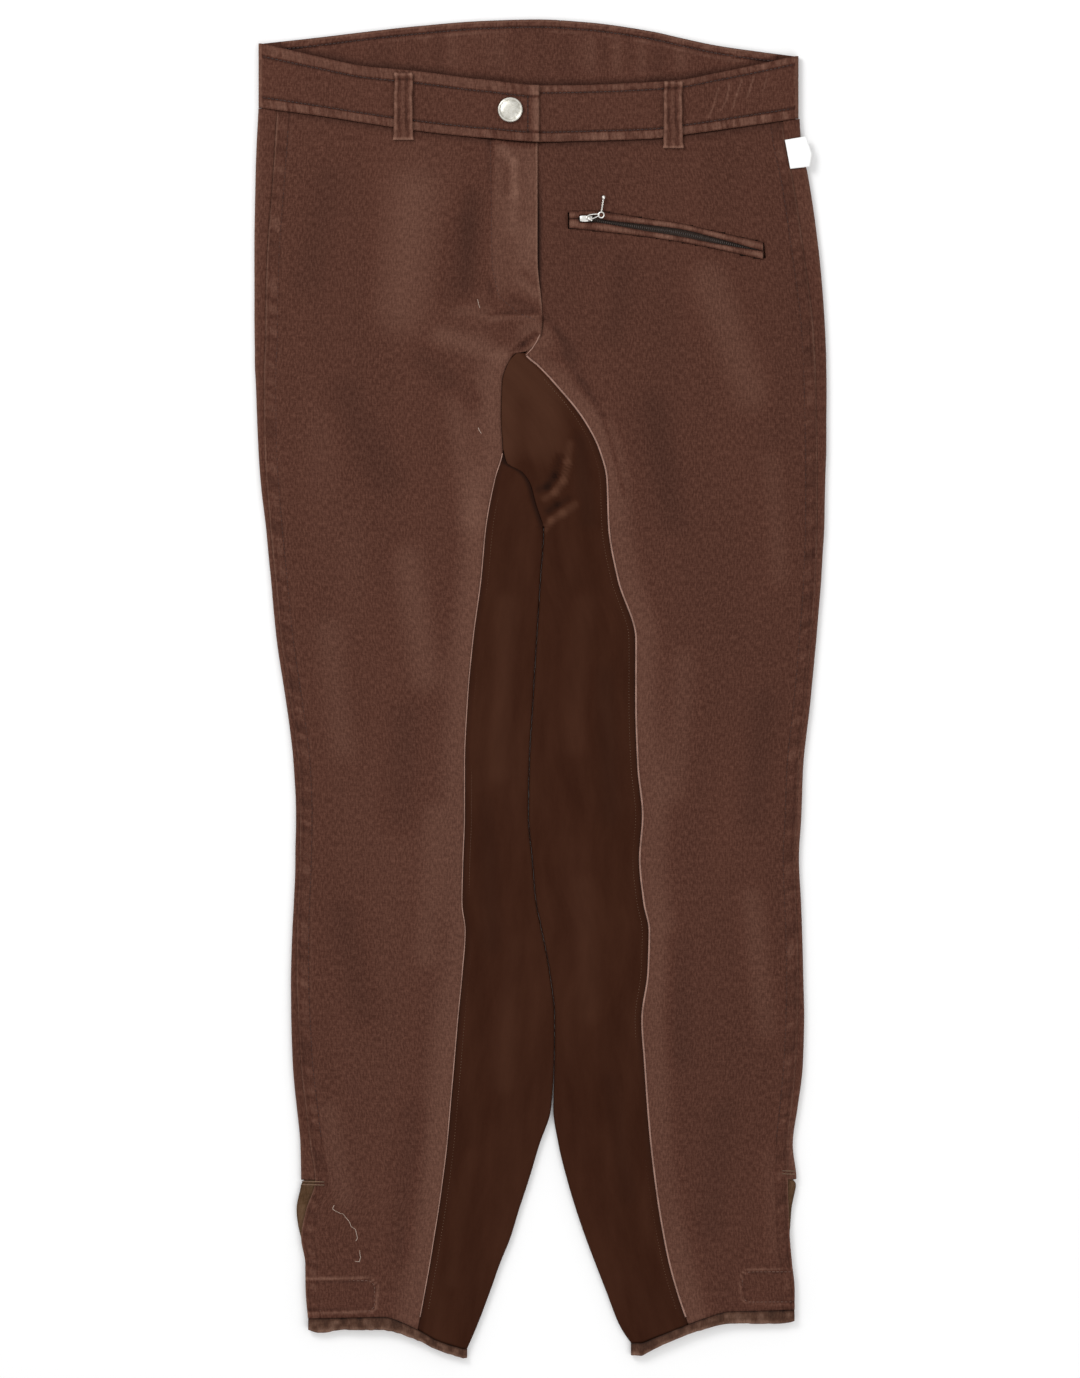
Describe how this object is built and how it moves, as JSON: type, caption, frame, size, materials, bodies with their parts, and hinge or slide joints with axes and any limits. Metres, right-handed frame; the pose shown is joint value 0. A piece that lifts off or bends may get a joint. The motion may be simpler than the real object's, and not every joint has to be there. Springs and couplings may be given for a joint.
{
  "type": "riding pants",
  "caption": "Full-length riding breeches laid flat: cloth panels, suede full seat, waistband with button tab and belt loops, zip pocket, open ankle vents.",
  "frame": {"origin": "middle of the garment's outline, on the surface it lies on", "axes": "+X to the wearer's left, +Y from the ankles to the waist, +Z off the surface, out of the garment's front"},
  "size_m": [0.4057, 0.9491, 0.0115],
  "materials": {
    "cloth": "matte brown brushed stretch twill",
    "suede": "dark brown suede with a short nap",
    "trim": "brushed brown binding",
    "vent_cloth": "matte olive-brown wrong side",
    "zip_tape": "dark woven tape",
    "metal": "silvery, slightly worn",
    "label": "plain white woven flag"
  },
  "bodies": {
    "garment": {"front_right": "cloth", "front_left": "cloth", "back_right": "cloth", "back_left": "cloth", "seat_right": "suede", "seat_left": "suede", "waistband_right": "cloth", "waistband_left": "cloth", "belt_loop_right": "cloth", "belt_loop_left": "cloth", "hem_right": "trim", "hem_left": "trim", "vent_underlap_right": "vent_cloth", "vent_underlap_left": "vent_cloth", "pocket_welt_upper": "cloth", "pocket_welt_lower": "cloth", "pocket_zip_tape": "zip_tape", "zip_slider": "metal", "button": "metal", "side_label": "label"},
    "pull": {"zip_pull": "metal"}
  },
  "joints": [
    {"name": "zip_pull_swing", "type": "hinge", "parent": "garment", "child": "pull", "pos_m": [0.0346, 0.3329, 0.0084], "axis": [1, 0, 0], "range_deg": [0, 165]}
  ]
}
